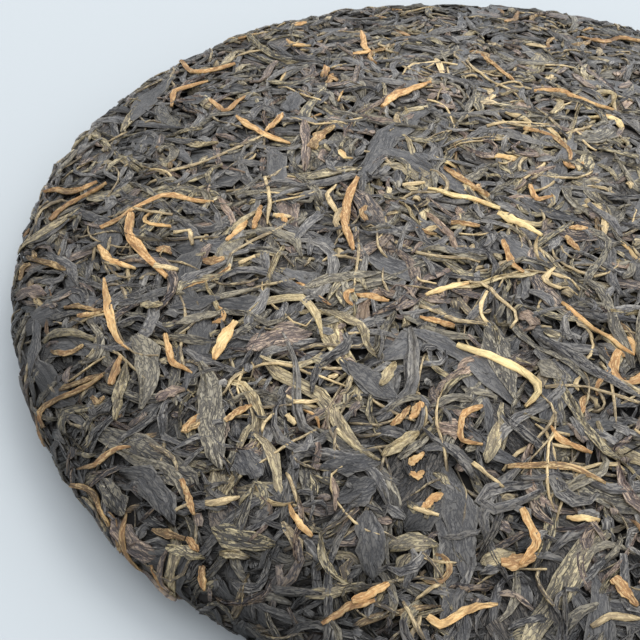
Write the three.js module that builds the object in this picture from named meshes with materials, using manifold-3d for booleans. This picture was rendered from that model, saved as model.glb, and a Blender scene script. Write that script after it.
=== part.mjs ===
// A cake of pressed tea: a low round disc of whole twisted leaves and golden buds, steamed and
// pressed hard in a cloth bag. The face is a gentle dome, the edge is round, and the back is flat
// with the hollow that the knot of the bag leaves. The cake is one piece: a plain core with the
// leaves that show fused on, the largest of them at true size. Millimetres, +Z up, and the origin
// is the middle of the flat back, so the cake lies on z = 0.

import * as THREE from 'three';
import { mergeVertices } from 'three/addons/utils/BufferGeometryUtils.js';
import Module from 'manifold-3d';

// Driving dimensions of the cake, measured over the leaves
const CAKE_RADIUS = 100;
const CENTRE_THICKNESS = 25;
const SHOULDER_HEIGHT = 15; // where the dome ends and the round edge begins
const EDGE_ROUND = 9; // how far in from the rim the shoulder lies
const WAIST = 0.48; // the widest place, as a share of the edge's height
const DOME_POWER = 2.3; // 2 is a plain arc, and more is flatter in the middle
const HOLLOW_RADIUS = 29; // the mouth of the hollow in the back
const HOLLOW_DEPTH = 9;
const HOLLOW_POWER = 1.5; // 1 has a sharp mouth, and more is rounder there

// How the leaves lie on the core
const LEAF_RISE = 1.0; // a leaf's crest over the core
const BACK_PRESS = 0.45; // how much of a leaf on the back the flat board has pressed away
const BACK_SHARE = 0.6; // leaves on the back, for each one on a like area of the face
const KEEL_DEPTH = 1.1; // how deep the middle of a leaf is sunk in the core
const SIDE_DEPTH = 0.2; // how deep its two long sides are sunk
const HOOK = 1.5; // how much more a leaf may bend near its tip than near its root

// The kinds of leaf: lengths, widths and rises in millimetres, and bends in radians. A flat leaf is
// pressed to a plate, and the others are rolled and keep a crest.
const KINDS = {
  broad: {
    count: 58,
    length: [26, 42],
    width: [5.4, 7.8],
    rise: 1.0,
    bend: 0.8,
    steps: 4,
    tip: 0.3,
    flat: true,
  },
  twisted: {
    count: 43,
    length: [20, 34],
    width: [3.2, 4.6],
    rise: 1.1,
    bend: 1.4,
    steps: 3,
    tip: 0.35,
    flat: false,
  },
  bud: {
    count: 17,
    length: [15, 24],
    width: [2.3, 2.9],
    rise: 1.15,
    bend: 1.6,
    steps: 3,
    tip: 0.25,
    flat: false,
  },
};
const LEAST_RISE = 0.8; // the lowest leaf of a kind, as a share of its rise
const THIN_END = 0.55; // how thick a leaf's thinnest end is, as a share of its middle
const ROOT_FULLNESS = 0.35; // how wide a leaf's torn root is, as a share of its middle

// A leaf's section as (across, up) points, in shares of its width and its rise
const FLAT_SECTION = [[-0.5, 0], [-0.36, 1], [0.3, 0.8], [0.5, 0]];
const ROLLED_SECTION = [[-0.5, 0], [-0.06, 1], [0.5, 0]];

// Facets and seeds
const CORE_SIDES = 36;
const DOME_RINGS = 5;
const EDGE_RINGS = 6;
const HOLLOW_RINGS = 3;
const AREA_STRIPS = 20; // strips of each outline facet, when its area is added up
const WALK_STEPS = 6; // steps from the middle of a leaf back to its root
const GOLDEN_ANGLE = Math.PI * (3 - Math.sqrt(5));
const KIND_TURN = 1.3; // keeps the spirals of the kinds apart
const SPIRAL_WANDER = 0.25;
const SEED = 357;

// A small repeatable source of numbers from 0 to 1, so that every build is the same.
function seededRandom(seed) {
  let state = seed >>> 0;
  return () => {
    state = (state + 0x6d2b79f5) >>> 0;
    let t = state;
    t = Math.imul(t ^ (t >>> 15), t | 1);
    t ^= t + Math.imul(t ^ (t >>> 7), t | 61);
    return ((t ^ (t >>> 14)) >>> 0) / 2 ** 32;
  };
}

// The half outline of the core, from the middle of the face round the edge to the top of the
// hollow in the back, as points (radius, height). It lies LEAF_RISE inside the cake.
function coreOutline() {
  const crown = CENTRE_THICKNESS - LEAF_RISE;
  const shoulder = SHOULDER_HEIGHT - LEAF_RISE;
  const shoulderRadius = CAKE_RADIUS - EDGE_ROUND;
  const back = LEAF_RISE - BACK_PRESS;
  const waist = back + (shoulder - back) * WAIST;
  const points = [];
  for (let i = 0; i <= DOME_RINGS; i++) {
    const share = Math.sqrt(i / DOME_RINGS); // rings of like area
    const height = crown - (crown - shoulder) * share ** DOME_POWER;
    points.push(new THREE.Vector2(shoulderRadius * share, height));
  }
  for (let i = 1; i <= EDGE_RINGS; i++) {
    const angle = Math.PI / 2 - (Math.PI * i) / EDGE_RINGS;
    const reach = shoulderRadius + (EDGE_ROUND - LEAF_RISE) * Math.cos(angle);
    const half = angle > 0 ? shoulder - waist : waist - back;
    points.push(new THREE.Vector2(reach, waist + half * Math.sin(angle)));
  }
  points.push(new THREE.Vector2((shoulderRadius + HOLLOW_RADIUS) / 2, back));
  for (let i = 0; i <= HOLLOW_RINGS; i++) {
    const share = 1 - i / HOLLOW_RINGS;
    const height = back + HOLLOW_DEPTH * (1 - share ** 2) ** HOLLOW_POWER;
    points.push(new THREE.Vector2(HOLLOW_RADIUS * share, height));
  }
  return points;
}

const OUTLINE = coreOutline();

// The outward normal of one facet of the outline.
function facetNormal(index) {
  const inside = THREE.MathUtils.clamp(index, 0, OUTLINE.length - 2);
  const a = OUTLINE[inside];
  const b = OUTLINE[inside + 1];
  return new THREE.Vector2(a.y - b.y, b.x - a.x).normalize();
}

// The outline's normal, turned evenly from one corner of a facet to the next.
function smoothNormal(index, share) {
  const corner = (k) => facetNormal(k - 1).add(facetNormal(k)).normalize();
  const blended = corner(index).lerp(corner(index + 1), share);
  return blended.normalize();
}

// The nearest place on the core to a point in space, with the outward normal there.
function ontoCore(point) {
  const radius = Math.hypot(point.x, point.y);
  let best = { gap: Infinity };
  for (let i = 0; i + 1 < OUTLINE.length; i++) {
    const a = OUTLINE[i];
    const along = OUTLINE[i + 1].clone().sub(a);
    const offset = new THREE.Vector2(radius, point.z).sub(a);
    const share = THREE.MathUtils.clamp(offset.dot(along) / along.lengthSq(), 0, 1);
    const foot = a.clone().addScaledVector(along, share);
    const gap = Math.hypot(radius - foot.x, point.z - foot.y);
    if (gap < best.gap) best = { gap, foot, index: i, share };
  }
  const turn = Math.atan2(point.y, point.x);
  return {
    place: turned(best.foot, turn),
    normal: turned(smoothNormal(best.index, best.share), turn),
  };
}

// A (radius, height) pair as a point or direction in space, turned about the Z axis.
function turned(pair, turn) {
  return new THREE.Vector3(pair.x * Math.cos(turn), pair.x * Math.sin(turn), pair.y);
}

// The outline's area, added up from the middle of the face, as [area so far, point] rows.
function areaRows() {
  const rows = [];
  let total = 0;
  for (let i = 0; i + 1 < OUTLINE.length; i++) {
    const a = OUTLINE[i];
    const b = OUTLINE[i + 1];
    const share = b.x < a.x ? BACK_SHARE : 1;
    for (let k = 0; k < AREA_STRIPS; k++) {
      const middle = a.clone().lerp(b, (k + 0.5) / AREA_STRIPS);
      total += (share * middle.x * a.distanceTo(b)) / AREA_STRIPS;
      rows.push([total, middle]);
    }
  }
  return rows;
}

const AREA_ROWS = areaRows();

// The place on the outline that has this share of the leaves inside it.
function placeByArea(share) {
  const wanted = share * AREA_ROWS[AREA_ROWS.length - 1][0];
  return AREA_ROWS.find(([area]) => area >= wanted)[1];
}

// A step along the core's surface, which may turn to the left or right as it goes.
function stepAlong({ foot, forward }, distance, turn) {
  const heading = forward.clone().applyAxisAngle(foot.normal, turn);
  const next = ontoCore(foot.place.clone().addScaledVector(heading, distance));
  heading.addScaledVector(next.normal, -heading.dot(next.normal)).normalize();
  return { foot: next, forward: heading };
}

// The root of a leaf whose middle and heading are given, looking along the leaf.
function leafRoot(place, heading, length) {
  const foot = ontoCore(place);
  const turn = Math.atan2(place.y, place.x);
  const around = new THREE.Vector3(-Math.sin(turn), Math.cos(turn), 0);
  const outward = new THREE.Vector3().crossVectors(foot.normal, around);
  const backward = around.multiplyScalar(-Math.cos(heading)).addScaledVector(outward, -Math.sin(heading));
  let walk = { foot, forward: backward };
  for (let i = 0; i < WALK_STEPS; i++) walk = stepAlong(walk, length / 2 / WALK_STEPS, 0);
  return { foot: walk.foot, forward: walk.forward.negate() };
}

// How full a leaf is along its length: it swells from the torn root and narrows to its tip.
function leafFullness(share, tip) {
  const end = share < 0.5 ? ROOT_FULLNESS : tip;
  return end + (1 - end) * Math.sin(Math.PI * share) ** 0.7;
}

// One leaf as a closed solid: its section carried along a bent path that clings to the core.
function leafGeometry({ place, heading, length, width, rise, bend, hook, steps, tip, flat }) {
  const section = flat ? FLAT_SECTION : ROLLED_SECTION;
  const positions = [];
  let walk = leafRoot(place, heading, length);
  for (let i = 0; i <= steps; i++) {
    const share = i / steps;
    const { foot, forward } = walk;
    const across = new THREE.Vector3().crossVectors(foot.normal, forward);
    const full = leafFullness(share, tip);
    const crest = rise * (THIN_END + (1 - THIN_END) * full);
    for (const [side, up] of section) {
      const corner = foot.place.clone().addScaledVector(across, side * width * full);
      positions.push(corner.addScaledVector(foot.normal, up * crest - (1 - up) * SIDE_DEPTH));
    }
    positions.push(foot.place.clone().addScaledVector(foot.normal, -KEEL_DEPTH));
    walk = stepAlong(walk, length / steps, (bend / steps) * (1 + hook * (2 * share - 1)));
  }
  const geometry = new THREE.BufferGeometry().setFromPoints(positions);
  geometry.setIndex(sweptFaces(steps, section.length + 1));
  return geometry;
}

// The triangles of a closed tube of rings with flat ends.
function sweptFaces(steps, corners) {
  const faces = [];
  for (let i = 0; i < steps; i++) {
    for (let k = 0; k < corners; k++) {
      const a = i * corners + k;
      const b = i * corners + ((k + 1) % corners);
      faces.push(a, a + corners, b + corners);
      faces.push(a, b + corners, b);
    }
  }
  const last = steps * corners;
  for (let k = 1; k + 1 < corners; k++) {
    faces.push(0, k, k + 1);
    faces.push(last, last + k + 1, last + k);
  }
  return faces;
}

// The round core, turned about the Z axis.
function coreGeometry() {
  return new THREE.LatheGeometry([...OUTLINE].reverse(), CORE_SIDES).rotateX(Math.PI / 2);
}

// All the leaves, each kind spread evenly over the face, edge and back by the golden angle.
function leafGeometries() {
  const random = seededRandom(SEED);
  const between = ([low, high]) => low + (high - low) * random();
  const leaves = [];
  Object.values(KINDS).forEach((kind, order) => {
    for (let i = 0; i < kind.count; i++) {
      const spot = placeByArea((i + random()) / kind.count);
      const turn = i * GOLDEN_ANGLE + order * KIND_TURN + SPIRAL_WANDER * random();
      leaves.push(
        leafGeometry({
          ...kind,
          place: turned(spot, turn),
          heading: 2 * Math.PI * random(),
          length: between(kind.length),
          width: between(kind.width),
          rise: LEAF_RISE * kind.rise * between([LEAST_RISE, 1]),
          bend: kind.bend * between([-1, 1]),
          hook: HOOK * random(),
        }),
      );
    }
  });
  return leaves;
}

const wasm = await Module();
wasm.setup();

// A closed three.js geometry as a solid that can be joined and cut.
function toSolid(geometry) {
  const bare = geometry.clone();
  bare.deleteAttribute('normal');
  bare.deleteAttribute('uv');
  const merged = mergeVertices(bare, 1e-4);
  return new wasm.Manifold(
    new wasm.Mesh({
      numProp: 3,
      vertProperties: new Float32Array(merged.attributes.position.array),
      triVerts: new Uint32Array(merged.index.array),
    }),
  );
}

// A solid as a three.js geometry again.
function toGeometry(solid) {
  const mesh = solid.getMesh();
  const geometry = new THREE.BufferGeometry();
  geometry.setAttribute('position', new THREE.BufferAttribute(new Float32Array(mesh.vertProperties), 3));
  geometry.setIndex(new THREE.BufferAttribute(new Uint32Array(mesh.triVerts), 1));
  geometry.computeVertexNormals();
  return geometry;
}

// The core with its leaves fused on, cut level where the cake lies on the board.
function cakeGeometry() {
  let cake = toSolid(coreGeometry());
  for (const leaf of leafGeometries()) cake = cake.add(toSolid(leaf));
  const board = new THREE.BoxGeometry(3 * CAKE_RADIUS, 3 * CAKE_RADIUS, CENTRE_THICKNESS);
  board.translate(0, 0, -CENTRE_THICKNESS / 2);
  return toGeometry(cake.subtract(toSolid(board)));
}

const darkLeaf = new THREE.MeshStandardMaterial({ color: 0x544e48, roughness: 0.62, metalness: 0 });

const cake = new THREE.Mesh(cakeGeometry(), darkLeaf);
cake.name = 'tea_cake';

const group = new THREE.Group();
group.add(cake);

export default group;
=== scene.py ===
# %% [markdown]
# # A cake of pressed tea
#
# Ripened pu erh tea is steamed until its leaves are limp, and pressed hard in a cloth bag under a
# stone. It dries as a round cake: a mat of whole twisted leaves, with golden buds among them.
# This lesson builds the cake in the order in which the real one comes about. First comes the
# form of the press, then the leaves are laid one over another, and last they are pressed. Each
# leaf is real mesh, because the cracks and shadows between the leaves are what the eye sees first.

import bpy
import numpy as np
from mathutils import Matrix, Vector


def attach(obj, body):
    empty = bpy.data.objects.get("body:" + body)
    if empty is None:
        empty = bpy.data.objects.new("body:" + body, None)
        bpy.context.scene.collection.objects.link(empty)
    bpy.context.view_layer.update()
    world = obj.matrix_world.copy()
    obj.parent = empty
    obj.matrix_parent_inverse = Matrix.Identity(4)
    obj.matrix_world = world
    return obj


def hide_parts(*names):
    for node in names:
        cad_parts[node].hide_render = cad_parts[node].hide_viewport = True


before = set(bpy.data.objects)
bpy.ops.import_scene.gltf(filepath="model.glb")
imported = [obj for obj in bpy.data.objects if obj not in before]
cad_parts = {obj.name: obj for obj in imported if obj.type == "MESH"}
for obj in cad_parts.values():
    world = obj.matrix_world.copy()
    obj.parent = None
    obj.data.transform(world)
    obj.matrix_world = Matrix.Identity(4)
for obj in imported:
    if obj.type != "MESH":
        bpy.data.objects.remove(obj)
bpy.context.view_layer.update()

# %% [markdown]
# ## The form of the press
#
# The real cake is round because its bag is pressed between a flat board and a rounded stone. Its
# face is a gentle dome, its edge is rounded, and its back is flat with a hollow where the knot of
# the bag was. One outline, turned about the upright axis, says all this. It could be drawn as a
# curve and spun, but here it is a table of points at even steps, because every leaf has to find
# its place on it. The sizes are those of the solid, in millimetres, and the outline is the level
# that the pressed leaves reach.

# %% Sizes of the cake
MM = 0.001
CAKE_RADIUS = 100.0
CENTRE_THICKNESS = 25.0
SHOULDER_HEIGHT = 15.0
EDGE_ROUND = 9.0
WAIST = 0.48
DOME_POWER = 2.3
HOLLOW_RADIUS = 29.0
HOLLOW_DEPTH = 9.0
HOLLOW_POWER = 1.5
OUTLINE_STEP = 0.25
OUTLINE_SOFTNESS = 1.5
DOME_POINTS = 300
EDGE_POINTS = 161
HOLLOW_POINTS = 120


# %% The outline as even steps
def press_outline():
    """Arc length, radius, height and normal, from the middle of the face to that of the back."""
    shoulder_radius = CAKE_RADIUS - EDGE_ROUND
    waist = SHOULDER_HEIGHT * WAIST
    share = np.linspace(0, 1, DOME_POINTS)
    dome = np.stack(
        [
            shoulder_radius * share,
            CENTRE_THICKNESS - (CENTRE_THICKNESS - SHOULDER_HEIGHT) * share**DOME_POWER,
        ],
        1,
    )
    angle = np.linspace(np.pi / 2, -np.pi / 2, EDGE_POINTS)[1:]
    half = np.where(angle > 0, SHOULDER_HEIGHT - waist, waist)
    edge = np.stack([shoulder_radius + EDGE_ROUND * np.cos(angle), waist + half * np.sin(angle)], 1)
    share = np.linspace(1, 0, HOLLOW_POINTS)
    hollow = np.stack([HOLLOW_RADIUS * share, HOLLOW_DEPTH * (1 - share**2) ** HOLLOW_POWER], 1)
    rough = np.concatenate([dome, edge, hollow])
    length = np.concatenate([[0], np.cumsum(np.hypot(*np.diff(rough, axis=0).T))])
    count = int(length[-1] / OUTLINE_STEP)
    even = np.linspace(0, length[-1], count + 1)
    radius = soften_ends(np.interp(even, length, rough[:, 0]), -1)
    height = soften_ends(np.interp(even, length, rough[:, 1]), 1)
    steps = np.concatenate([[0], np.cumsum(np.hypot(np.diff(radius), np.diff(height)))])
    even = np.linspace(0, steps[-1], count + 1)
    radius, height = np.interp(even, steps, radius), np.interp(even, steps, height)
    along = np.stack([np.gradient(radius), np.gradient(height)])
    along /= np.hypot(*along)
    return even, radius, height, np.stack([-along[1], along[0]])


def soften_ends(values, mirrored):
    """Rounds a row of values off, as if it went on past the axis, mirrored or not."""
    reach = int(4 * OUTLINE_SOFTNESS / OUTLINE_STEP)
    before = mirrored * values[reach:0:-1]
    after = mirrored * values[-2 : -reach - 2 : -1]
    wide = np.concatenate([before, values, after])
    weights = np.exp(-0.5 * (np.arange(-reach, reach + 1) * OUTLINE_STEP / OUTLINE_SOFTNESS) ** 2)
    return np.convolve(wide, weights / weights.sum(), "valid")


ARC, RADIUS, HEIGHT, NORMAL = press_outline()
WHOLE_ARC = ARC[-1]
EDGE_ARC = ARC[np.argmax(RADIUS)]
print("outline", len(ARC), "steps,", round(WHOLE_ARC, 1), "mm, edge at", round(EDGE_ARC, 1))

# %% [markdown]
# ## A place for every leaf
#
# A leaf is led over the face, round the edge and onto the back, so it needs the nearest place on
# the outline again at each step. Measuring to every point of the outline each time would be slow.
# A small table of nearest places is made once, and then read for thousands of points at a time.

# %% The nearest place on the cake
TABLE_STEP = 0.5
TABLE_LOW = np.array([-2.0, -8.0])
TABLE_HIGH = np.array([108.0, 33.0])


def nearest_table():
    """The arc length nearest to each point of a grid over radius and height."""
    across = np.arange(TABLE_LOW[0], TABLE_HIGH[0], TABLE_STEP)
    up = np.arange(TABLE_LOW[1], TABLE_HIGH[1], TABLE_STEP)
    table = np.zeros((len(across), len(up)))
    for row, radius in enumerate(across):
        gap = (radius - RADIUS[None]) ** 2 + (up[:, None] - HEIGHT[None]) ** 2
        table[row] = ARC[np.argmin(gap, 1)]
    return table


NEAREST = nearest_table()


def arc_of(points):
    """The arc length of the nearest place on the outline to each point in space."""
    radius = np.hypot(points[..., 0], points[..., 1])
    spot = (np.stack([radius, points[..., 2]], -1) - TABLE_LOW) / TABLE_STEP
    cell = np.clip(np.rint(spot).astype(int), 0, np.array(NEAREST.shape) - 1)
    arc = NEAREST[cell[..., 0], cell[..., 1]]
    for _ in range(2):
        normal = normal_at(arc)
        past = (radius - np.interp(arc, ARC, RADIUS)) * normal[1]
        past = past - (points[..., 2] - np.interp(arc, ARC, HEIGHT)) * normal[0]
        arc = np.clip(arc + past, 0, WHOLE_ARC)
    return arc


def normal_at(arc):
    """The outline's normal as (outward, upward) at some arc lengths."""
    return np.stack([np.interp(arc, ARC, NORMAL[0]), np.interp(arc, ARC, NORMAL[1])])


def surface(arc, turn):
    """Points and outward normals on the cake at an arc length and a turn about the axis."""
    radius, height, normal = np.interp(arc, ARC, RADIUS), np.interp(arc, ARC, HEIGHT), normal_at(arc)
    points = np.stack([radius * np.cos(turn), radius * np.sin(turn), height], -1)
    normals = np.stack([normal[0] * np.cos(turn), normal[0] * np.sin(turn), normal[1]], -1)
    return points, normals / np.linalg.norm(normals, axis=-1, keepdims=True)


def onto_cake(points):
    """The nearest points on the cake, with their normals."""
    return surface(arc_of(points), np.arctan2(points[..., 1], points[..., 0]))


print("table", NEAREST.shape)

# %% [markdown]
# ## The kinds of leaf
#
# What shows on the cake are a few kinds of leaf, and each has its own size and section. A broad
# leaf is an older one, pressed flat, 2 to 6 mm wide. A twisted leaf was rolled before it dried, so
# it has a thick creased body. Most of what one sees are narrow strips, torn from larger leaves in
# the rolling. A bud is the unopened tip of a twig, slim, folded and golden. Stalks are thin and
# round, and broken bits fill the gaps. Wide under leaves are laid before all the others, and close
# the cake below them. All are the same sort of mesh, a strip with a top and an underside, so one
# table of sizes is enough for them all. The strips could be curves with a bevel, but then the
# section couldn't change along the leaf.

# %% Sizes of the kinds
# Length, width and thickness are in millimetres and the bend is in radians. Rows and columns are
# how many points lie along a leaf and across one side of it.
KINDS = {
    "under_leaf": dict(
        length=(20, 42), width=(5, 9.5), thick=(0.4, 0.7), bend=0.5, rows=6, columns=4
    ),
    "broad_leaf": dict(
        length=(10, 32), width=(2.2, 5.8), thick=(0.22, 0.42), bend=0.9, rows=8, columns=7
    ),
    "twisted_leaf": dict(
        length=(12, 32), width=(0.95, 2.5), thick=(0.34, 0.6), bend=2.0, rows=9, columns=6
    ),
    "leaf_strip": dict(
        length=(4, 14), width=(0.55, 1.85), thick=(0.3, 0.5), bend=1.4, rows=6, columns=5
    ),
    "golden_bud": dict(
        length=(4, 15), width=(0.6, 1.8), thick=(0.4, 0.62), bend=2.0, rows=12, columns=6
    ),
    "stalk": dict(
        length=(4, 20), width=(0.3, 0.75), thick=(0.4, 0.6), bend=1.3, rows=8, columns=3
    ),
    "leaf_bit": dict(
        length=(1.2, 6.0), width=(0.45, 2.0), thick=(0.28, 0.5), bend=0.6, rows=4, columns=4
    ),
}

# How many of each are laid on the face with the edge, and on the back
COUNTS = {
    "under_leaf": (330, 350),
    "broad_leaf": (620, 250),
    "twisted_leaf": (1600, 360),
    "leaf_strip": (4900, 560),
    "golden_bud": (180, 90),
    "stalk": (960, 150),
    "leaf_bit": (5900, 500),
}

SEED = 357
random = np.random.default_rng(SEED)


def between(limits, count, power=1.0):
    """Sizes between two limits. A power over 1 makes more of them small."""
    return limits[0] + (limits[1] - limits[0]) * random.random(count) ** power


print("leaves to lay", {kind: sum(counts) for kind, counts in COUNTS.items()})


# %% Where the leaves of one kind lie
def scatter(count_face, count_back):
    """Places spread over the cake, as arc length and turn: evenly by area on each side."""
    area = np.cumsum(RADIUS)
    on_face = ARC <= EDGE_ARC
    split = area[on_face][-1]
    face = random.random(count_face) * split
    back = split + random.random(count_back) * (area[-1] - split)
    arc = np.interp(np.concatenate([face, back]), area, ARC)
    return arc, 2 * np.pi * random.random(len(arc))


BUNDLE_SLIDE = 8.0
BUNDLE_FAN = 0.25
LEAST_RADIUS = 4.0


def in_bundles(arc, turn, heading, share, gap):
    """Makes some leaves lie beside the one before them, as leaves of one twig do."""
    for i in range(1, len(arc)):
        if random.random() < share:
            aside = gap * (0.8 + 0.6 * random.random()) * random.choice((-1, 1))
            slide = BUNDLE_SLIDE * (random.random() - 0.5)
            radius = max(LEAST_RADIUS, np.interp(arc[i - 1], ARC, RADIUS))
            way = heading[i - 1]
            moved = arc[i - 1] + slide * np.cos(way) - aside * np.sin(way)
            arc[i] = np.clip(moved, 0, WHOLE_ARC)
            turn[i] = turn[i - 1] + (slide * np.sin(way) + aside * np.cos(way)) / radius
            heading[i] = way + BUNDLE_FAN * (random.random() - 0.5)


# %% [markdown]
# ## Leading a leaf over the cake
#
# A leaf starts from its middle and is led both ways in short steps. At each step it turns a
# little, as real leaves curl, and is put back onto the surface, which bends it over the edge.
# All the leaves of a kind are led at once as arrays.

# %% Paths of the leaves
def step_on(points, normals, ways, distance, turn):
    """One step of many paths: turned about the normal, moved, and put back on the cake."""
    aside = np.cross(normals, ways)
    ways = ways * np.cos(turn)[:, None] + aside * np.sin(turn)[:, None]
    points, normals = onto_cake(points + ways * distance[:, None])
    ways = ways - (ways * normals).sum(-1, keepdims=True) * normals
    return points, normals, ways / np.linalg.norm(ways, axis=-1, keepdims=True)


def lead(arc, turn, heading, length, bends):
    """Paths of leaves from their middles, as points and normals of shape (leaf, row, 3)."""
    points, normals = surface(arc, turn)
    around = np.stack([-np.sin(turn), np.cos(turn), 0 * turn], -1)
    down = np.cross(around, normals)
    ways = down * np.cos(heading)[:, None] + around * np.sin(heading)[:, None]
    rows = bends.shape[1] + 1
    halves = {}
    for sign in (1, -1):
        walk = (points, normals, sign * ways)
        steps = [walk]
        for k in range(rows // 2):
            which = rows // 2 + k if sign > 0 else rows // 2 - 1 - k
            bend = sign * bends[:, min(max(which, 0), rows - 2)]
            for _ in range(2):
                walk = step_on(*walk, length / (rows - 1) / 2, bend / 2)
            steps.append(walk)
        halves[sign] = steps
    line = halves[-1][:0:-1] + halves[1]
    points = np.stack([step[0] for step in line], 1)
    normals = np.stack([step[1] for step in line], 1)
    return points, normals


# %% Curls of the leaves
# How much of a kind's bend goes into each sort of curl
STEADY = 0.5
HOOK = 0.8
WANDER = 0.55
WANDER_PACE = 2.4
KINK = 0.22
WHOLE_BEND = 1.7


def curls(count, rows, bend):
    """How far each leaf turns at each step: a steady curl, a hook at one end and some wander."""
    share = np.linspace(-1, 1, rows - 1)[None]
    steady = bend * random.normal(0, STEADY, (count, 1))
    hook = bend * random.normal(0, HOOK, (count, 1))
    hook = hook * np.maximum(0, share * random.choice((-1, 1), (count, 1))) ** 2
    phase = 2 * np.pi * random.random((count, 1))
    wander = bend * WANDER * np.sin(WANDER_PACE * share + phase)
    kink = bend * random.normal(0, KINK, (count, rows - 1))
    return (steady + hook * 2 + wander + kink) / (rows - 1) * WHOLE_BEND


# %% [markdown]
# ## The eye
#
# Some leaves have to lie where the picture shows them, so the place of the eye is needed before
# anything is laid. It was worked out from the cake's outline in the picture: it looks down at 45
# degrees from about 23 cm, so close that the far side of the cake is much smaller than the near.
# The camera takes the same values at the end.

# %% Place of the eye
# The picture is 640 pixels wide, and the lens is as far from it as 1200 of them
ELEVATION = np.radians(44.65)
ROLL = np.radians(2.86)
DISTANCE = 227.8
AIM = np.array([-37.56, -22.06, 12.0])
PIXELS = 640
FOCAL_PIXELS = 1200.0


def eye_axes():
    """The directions to the right, up and back from the eye, as rows."""
    back = np.array([0.0, -np.cos(ELEVATION), np.sin(ELEVATION)])
    right = np.array([1.0, 0.0, 0.0])
    up = np.cross(back, right)
    return np.stack(
        [np.cos(ROLL) * right + np.sin(ROLL) * up, np.cos(ROLL) * up - np.sin(ROLL) * right, back]
    )


EYE_AXES = eye_axes()
EYE = AIM + EYE_AXES[2] * DISTANCE
print("eye", EYE.round(1))

# %% Where a line of sight meets the cake
SIGHT_STEP = 0.25
SIGHT_NEAR = 120.0
SIGHT_FAR = 440.0


def where_seen(pixels):
    """Where lines of sight through places in the picture meet the cake, on its unrolled face."""
    right, up, back = EYE_AXES
    aside = (np.minimum(pixels, PIXELS) - PIXELS / 2) / FOCAL_PIXELS
    ways = aside[:, :1] * right - aside[:, 1:] * up - back
    ways /= np.linalg.norm(ways, axis=1, keepdims=True)
    far = np.arange(SIGHT_NEAR, SIGHT_FAR, SIGHT_STEP)
    points = EYE + ways[:, None] * far[None, :, None]
    foot, normals = onto_cake(points)
    above = ((points - foot) * normals).sum(-1)
    charted = np.hypot(points[..., 0], points[..., 1]) < TABLE_HIGH[0]
    charted &= (points[..., 2] > 0) & (points[..., 2] < TABLE_HIGH[1])
    above = np.where(charted, above, SIGHT_FAR)
    within = above <= 0
    first = np.where(within.any(1), np.argmax(within, 1), np.argmin(above, 1))
    hit = points[np.arange(len(first)), first]
    turn = np.arctan2(hit[:, 1], hit[:, 0])
    return arc_of(hit)[:, None] * np.stack([np.cos(turn), np.sin(turn)], 1)


picture_middle = np.full((1, 2), PIXELS / 2)
print("the middle of the picture shows", where_seen(picture_middle).round(1), "mm from the cake's")
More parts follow.
